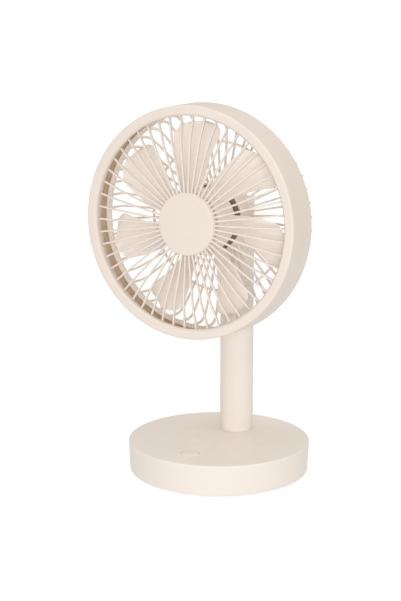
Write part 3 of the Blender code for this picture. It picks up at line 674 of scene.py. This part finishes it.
def blade(phase):
    """One swept, twisted and hollowed blade with thin rounded edges and a thicker root."""
    place = in_head()
    sides = []
    for side in (-1, 1):
        grid = []
        for r in range(BLADE_ROWS):
            share = 1 - (1 - r / (BLADE_ROWS - 1)) ** 1.6
            radius = BLADE_ROOT + (BLADE_TIP - BLADE_ROOT) * share
            rounding = max(0.0, (share - TIP_START) / 0.20)
            half = BLADE_HALF_ANGLE * math.sqrt(1.0 - (rounding * 0.985) ** 2.6)
            middle = phase + math.radians(9.6 - 0.235 * (radius - 29.0))
            rise = BLADE_PITCH - BLADE_TWIST * share
            root = ROOT_THICK * math.exp(-(radius - BLADE_ROOT) / 2.5)
            tip = 1 - 0.45 * rounding ** 3
            row = []
            for c in range(BLADE_COLUMNS):
                chord = -math.cos(math.pi * c / (BLADE_COLUMNS - 1))
                hollow = BLADE_HOLLOW * (1 - chord * chord) * (1 - 0.4 * share)
                thick = (BLADE_HALF_THICK + root) * math.sqrt(max(0.0, 1.0 - chord ** 6)) * tip
                depth = BLADE_DEPTH - chord * rise / 2 + hollow + side * max(thick, THINNEST)
                row.append(place(radius, depth, middle + chord * half))
            grid.append(row)
        sides.append(grid)
    front, back = sides
    return swept([front[r] + back[r][::-1] for r in range(BLADE_ROWS)])


def impeller():
    """The cup-shaped hub with a stepped nose, and its seven blades."""
    outer = 29.5
    profile = soften([(3.4, 11.9, 0.3), (12.0, 11.9, 0.3), (12.6, 12.5, 0.3),
                      (outer - 0.3, 12.5, 3.2), (outer, 40.0, 0.6), (outer - 2.1, 40.0, 0.6),
                      (outer - 2.1, 14.3, 1.5), (3.4, 14.3, 0.3)])
    phases = [BLADE_PHASE + 2 * math.pi * k / BLADE_COUNT for k in range(BLADE_COUNT)]
    shape = merged(turned(profile, in_head(), 144), *[blade(phase) for phase in phases])
    dress(solid("impeller_fine", shape), "impeller", "cream_impeller", BLADES, "impeller")


def blade_nut():
    """The cap nut, with flutes for the fingers."""
    profile = [(0.0, 7.0), (1.6, 7.05), (3.2, 7.3), (4.8, 8.0), (5.9, 9.2), (6.5, 10.8),
               (6.55, 11.5), (6.2, 11.7), (1.8, 11.7), (1.8, 9.3), (0.0, 9.3)]

    def flutes(radius, angle):
        return -0.45 * max(0.0, math.cos(10 * angle)) ** 2 if radius > 4.0 else 0.0

    nut = solid("blade_nut", turned(profile, in_head(), 120, flutes))
    dress(nut, "impeller", "cream_impeller", BLADES, "impeller_nut")


# Post

def post():
    """The tube with a rounded foot edge, and the round-topped fork on it."""
    foot = BASE_TOP + 0.06
    tube = soften([(POST_BORE, foot, 0.3), (POST_RADIUS, foot, 0.2), (POST_RADIUS, POST_TOP, 0.35),
                   (POST_BORE, POST_TOP, 0.3)], 4)
    column = solid("post_column", turned(tube, upright(0.0, POST_Y), 128))
    dress(column, "post", "cream_shell", SHELL, "post_tube")
    low = POST_TOP - 18.0
    seam = POST_TOP + 0.3
    top = PIVOT_Z + 25.0
    plug = POST_BORE - 0.3
    stem = [(5.0, low), (plug, low), (plug, seam), (POST_RADIUS, seam), (POST_RADIUS, top),
            (5.0, top)]
    fork = solid("fork_head", turned(stem, upright(0.0, POST_Y), 128))
    keep = [(-20.0, -60.0), (20.0, -60.0), (20.0, 0.0)]
    keep += arc(CROWN_RADIUS, 49, 0.0, math.pi) + [(-20.0, 0.0)]
    slot = [(-30.0, 14.5), (-30.0, -15.0), (-4.0, -15.0)] + arc(10.6, 25, -math.pi / 2, 0.0)
    slot += [(10.6, 30.0), (-30.0, 30.0)]
    hole = turned([(0.0, -20.0), (PIN_HOLE, -20.0), (PIN_HOLE, 20.0), (0.0, 20.0)], across(), 48)
    tools = [("INTERSECT", pushed(keep, sideways(), -20.0, 20.0)),
             ("DIFFERENCE", pushed(slot, sideways(), -SLOT_HALF_WIDTH, SLOT_HALF_WIDTH)),
             ("DIFFERENCE", hole)]
    carve(fork, tools, bevel=0.6, angle=35)
    dress(fork, "post", "cream_shell", SHELL, "post_fork")


# Base

def base_cover():
    """The round cover with a soft top edge, and holes for the post, the key and the port."""
    wall = 2.4
    under = BASE_TOP - wall
    foot = BASE_RADIUS - 1.3
    profile = soften([(0.0, under), (82.4, under, 2.0), (84.4, under - 3.0),
                      (foot - wall, BASE_FOOT, 0.3), (foot, BASE_FOOT, 0.8),
                      (BASE_RADIUS, BASE_TOP, 1.7), (0.0, BASE_TOP)], 6)
    cover = solid("base_cover", turned(profile, upright(), 256))
    low, high = under - 1, BASE_TOP + 1
    column, key = (turned([(0.0, low), (bore, low), (bore, high), (0.0, high)], upright(0.0, y), 96)
                   for bore, y in ((16.0, POST_Y), (9.0, BUTTON_Y)))
    port_z = sum(span("usb_c_port", 2)) / 2
    mouth = pushed(rounded_box(9.8, 3.9, 1.9), backwards(0.0, port_z), 80.0, 90.0)
    carve(cover, [("DIFFERENCE", column), ("DIFFERENCE", key), ("DIFFERENCE", mouth)], bevel=0.35,
          angle=50)
    dress(cover, "base", "cream_shell", SHELL, "base_shell")


def bottom_plate():
    """The bottom plate, with counterbored screw holes and two ring grooves."""
    low, high = span("base_plate", 2)
    radius = half_width("base_plate")
    groove = low + 0.5
    profile = soften([(0.0, high), (0.0, low), (22.0, low), (22.4, groove, 0.1),
                      (23.6, groove, 0.1), (24.0, low), (46.0, low), (46.4, groove, 0.1),
                      (47.6, groove, 0.1), (48.0, low), (radius, low, 0.6), (radius, high, 0.4)], 3)
    plate = solid("bottom_plate", turned(profile, upright(), 192))
    tools = []
    for number in range(1, SCREW_COUNT + 1):
        x, y = level_middle(f"base_screw_{number}")
        for bore, top in ((1.7, 6.0), (3.1, 3.1)):
            tools.append(("DIFFERENCE", turned([(0.0, -1.0), (bore, -1.0), (bore, top), (0.0, top)],
                                               upright(x, y), 32)))
    carve(plate, tools, bevel=0.2, segments=2, angle=50)
    dress(plate, "base", "cream_shell", SHELL, "base_plate")


def cross_recess(x, y, low):
    """Two bars, as tools for a cross recess in a screw's head."""
    reach, half = 1.7, 0.375
    bars = [[(-a, -b), (a, -b), (a, b), (-a, b)] for a, b in ((reach, half), (half, reach))]
    return [("DIFFERENCE", pushed(bar, flat(x, y), low - 1.0, low + 1.0)) for bar in bars]


def base_fasteners():
    """Pan-head screws with cross recesses, and the grooved rubber pads."""
    for number in range(1, SCREW_COUNT + 1):
        node = f"base_screw_{number}"
        x, y = level_middle(node)
        low, high = span(node, 2)
        profile = soften([(0.0, low), (2.7, low, 0.6), (2.7, low + 1.4, 0.1), (1.3, low + 1.4),
                          (1.3, high, 0.4), (0.0, high)], 4)
        screw = solid(f"bottom_screw_{number}", turned(profile, upright(x, y), 40))
        carve(screw, cross_recess(x, y, low))
        dress(screw, "base", "steel", TURNED_STEEL, node)
        node = f"rubber_foot_{number}"
        x, y = level_middle(node)
        low, high = span(node, 2)
        radius = half_width(node)
        groove = low + 0.15
        outline = soften([(0.0, low), (radius - 2.0, low), (radius - 1.6, groove),
                          (radius - 1.0, groove), (radius - 0.6, low), (radius, low + 0.1, 0.3),
                          (radius, high), (0.0, high)], 3)
        pad = solid(f"foot_pad_{number}", turned(outline, upright(x, y), 56))
        dress(pad, "base", "rubber", RUBBER, node)


def power_key():
    """The low domed key, with a flange that keeps it in the base."""
    top = BUTTON_TOP
    dome = 7.8
    radius = 8.7
    flange = BASE_TOP - 2.7
    under = flange - 1.4
    stem_end = 20.6
    profile = [(r, top - 0.55 * (r / dome) ** 2) for r in (0.0, 1.5, 3.0, 4.5, 5.8, 6.8, 7.4, dome)]
    profile += soften([(8.1, top - 0.61), (radius, top - 0.95, 0.5), (radius, flange),
                       (10.4, flange, 0.2), (10.4, under, 0.2), (2.4, under), (2.4, stem_end, 0.2)])
    profile.append((0.0, stem_end))
    key = solid("power_key", turned(profile, upright(0.0, BUTTON_Y), 96))
    dress(key, "button", "cream_shell", KEY, "power_button")


def key_spring():
    """The coil spring under the key, at the CAD spring's length; it keeps that length when the key
    goes down.
    """
    low, high = span("button_spring", 2)
    coil, wire, gap = 6.0, 0.42, 0.03
    turns = 3.0
    count, sides = 121, 10
    rings = []
    for k in range(count):
        share = k / (count - 1)
        angle = 2 * math.pi * turns * share
        z = low + wire + gap + (high - low - 2 * (wire + gap)) * share
        ring = []
        for j in range(sides):
            bend = 2 * math.pi * j / sides
            radius = coil + wire * math.cos(bend)
            ring.append((radius * math.cos(angle), BUTTON_Y + radius * math.sin(angle),
                         z + wire * math.sin(bend)))
        rings.append(ring)
    spring = dress(solid("key_spring", swept(rings)), "base", "steel", STEEL, "button_spring")
    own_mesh(spring)


def charging_port():
    """The port's folded steel mouth, with its contact tongue inside."""
    z = sum(span("usb_c_port", 2)) / 2
    front, back = span("usb_c_port", 1)
    outer = pushed(rounded_box(9.0, 3.3, 1.6), backwards(0.0, z), front, back)
    sleeve = solid("charging_port", outer)
    hollow = pushed(rounded_box(8.4, 2.7, 1.3), backwards(0.0, z), front + 1.4, back + 2.0)
    carve(sleeve, [("DIFFERENCE", hollow)], bevel=0.08, segments=2, angle=50)
    dress(sleeve, "base", "steel", STEEL, "usb_c_port")
    tongue = solid("port_tongue", pushed(rounded_box(6.6, 0.7, 0.2), backwards(0.0, z), front + 1.5,
                                         back - 0.8))
    dress(carve(tongue, [], bevel=0.1, segments=2), "base", "dark_plastic", DARK)


# CAD nodes that keep their shape

KEPT = {
    WHITE: ["swivel_bush", "swivel_gear", "drive_pinion"],
    BROWN_PLASTIC_AND_SHADE: ["post_foot"],
    DARK: ["control_chip", "button_switch", "power_inductor"],
    STEEL: ["motor_screw_1", "motor_screw_2", "motor_screw_3", "stator_core", "rotor_bell",
            "swivel_motor", "counterweight", "retaining_ring"],
    TURNED_STEEL: ["front_bearing", "rear_bearing", "motor_shaft", "shaft_clip", "drive_shaft"],
    MAGNET: ["rotor_magnet"],
    COPPER: ["winding_front", "winding_rear"],
    BOARD: ["main_board", "port_board", "button_board", "motor_board"],
    WRAP: ["battery_cell_front", "battery_cell_rear"],
}


def dress_kept_nodes():
    """Give the inner CAD nodes their materials."""
    for look, names in KEPT.items():
        for name in names:
            node = frame["nodes"][name]
            for place in node.material_slots:
                place.material = look


# Stage

WHITE_LIGHT = (1.0, 1.0, 1.0, 1.0)
AMBIENT = (1.0, 0.965, 0.925, 1.0)
BELOW = 0.76
HORIZON = 0.53
ZENITH = 1.40
SEEN = 1.1
CAMERA_PLACE = (0.5407, -1.0190, 0.3961)
CAMERA_AZIMUTH = math.radians(28.84)
CAMERA_ELEVATION = math.radians(11.29)
CAMERA_LENS = 73.8
SENSOR_WIDTH = 36.0
FAN_MIDDLE = Vector((0.0, 0.0, 0.18))
FLOOR_RADIUS = 700.0
FLOOR_GLOW = 0.60


def placed(name, data):
    """A new object in the scene for a camera or a light."""
    thing = bpy.data.objects.new(name, data)
    bpy.context.scene.collection.objects.link(thing)
    return thing


def camera():
    """The viewing position: in front of the fan, to the right and a little above."""
    data = bpy.data.cameras.new("camera")
    data.sensor_width = SENSOR_WIDTH
    data.lens = CAMERA_LENS
    thing = placed("camera", data)
    thing.location = CAMERA_PLACE
    thing.rotation_euler = (math.pi / 2 - CAMERA_ELEVATION, 0.0, CAMERA_AZIMUTH)
    bpy.context.scene.camera = thing


def softbox(name, azimuth, elevation, distance, width, height, power, colour):
    """An area light that looks at the middle of the fan, and doesn't show in reflections."""
    data = bpy.data.lights.new(name, "AREA")
    data.shape = "RECTANGLE"
    data.size, data.size_y = width, height
    data.energy = power
    data.color = colour
    thing = placed(name, data)
    a, e = math.radians(azimuth), math.radians(elevation)
    direction = Vector((math.sin(a) * math.cos(e), -math.cos(a) * math.cos(e), math.sin(e)))
    thing.location = FAN_MIDDLE + direction * distance
    thing.rotation_euler = direction.to_track_quat("Z", "Y").to_euler()
    thing.visible_glossy = False


def surroundings():
    """A white studio: seen as white, and lighting the fan softly, most from above."""
    world = bpy.data.worlds.new("studio")
    bpy.context.scene.world = world
    world.use_nodes = True
    tree = world.node_tree
    tree.nodes.clear()
    rays = tree.nodes.new("ShaderNodeLightPath")
    place = tree.nodes.new("ShaderNodeTexCoord")
    parts = tree.nodes.new("ShaderNodeSeparateXYZ")
    above, height, under, total = (tree.nodes.new("ShaderNodeMath") for _ in range(4))
    above.operation = "MAXIMUM"
    above.inputs[1].default_value = 0.0
    height.operation = "POWER"
    height.inputs[1].default_value = 2.0
    under.operation = "LESS_THAN"
    under.inputs[1].default_value = 0.0
    total.operation = "MULTIPLY_ADD"
    total.inputs[1].default_value = BELOW - HORIZON
    strength = tree.nodes.new("ShaderNodeMapRange")
    strength.inputs["To Min"].default_value = HORIZON
    strength.inputs["To Max"].default_value = ZENITH
    lit, seen = (tree.nodes.new("ShaderNodeBackground") for _ in range(2))
    lit.inputs["Color"].default_value = AMBIENT
    seen.inputs["Strength"].default_value = SEEN
    seen.inputs["Color"].default_value = WHITE_LIGHT
    either = tree.nodes.new("ShaderNodeMixShader")
    out = tree.nodes.new("ShaderNodeOutputWorld")
    for output, socket in ((place.outputs["Generated"], parts.inputs[0]),
                           (parts.outputs["Z"], above.inputs[0]),
                           (above.outputs[0], height.inputs[0]),
                           (height.outputs[0], strength.inputs["Value"]),
                           (parts.outputs["Z"], under.inputs[0]),
                           (under.outputs[0], total.inputs[0]),
                           (strength.outputs["Result"], total.inputs[2]),
                           (total.outputs[0], lit.inputs["Strength"]),
                           (rays.outputs["Is Camera Ray"], either.inputs[0]),
                           (lit.outputs[0], either.inputs[1]),
                           (seen.outputs[0], either.inputs[2]),
                           (either.outputs[0], out.inputs["Surface"])):
        tree.links.new(output, socket)


def floor():
    """A plain pale disc that is bright enough to lose the fan's shadow."""
    rim = arc(FLOOR_RADIUS, 129, 0.0, 2 * math.pi)[:-1]
    thing = solid("floor", pushed(rim, flat(), -20.0, -0.02))
    n = Nodes("floor_paint")
    tint = n.blend(n.between(n.noise(3.0), 0.0, 1.0), (0.49, 0.49, 0.49, 1.0),
                   (0.51, 0.51, 0.51, 1.0))
    look = n.finish(tint, 0.9, n.bump(n.noise(400.0), 0.02, 0.0001), specular=0.0)
    n.shader.inputs["Emission Color"].default_value = WHITE_LIGHT
    n.shader.inputs["Emission Strength"].default_value = FLOOR_GLOW
    thing.data.materials.append(look)
    thing.visible_diffuse = False


bpy.context.scene.view_settings.view_transform = "Standard"
camera()
surroundings()
floor()
softbox("front_box", 28.0, 5.0, 2.0, 0.8, 0.7, 18.3, (0.98, 1.0, 1.02))

drum()
drum_shade_band()
front_guard()
hub_disc()
rear_guard()
motor_can()
rear_dome()
tilt_hardware()
impeller()
blade_nut()
post()
base_cover()
bottom_plate()
base_fasteners()
power_key()
key_spring()
charging_port()
dress_kept_nodes()
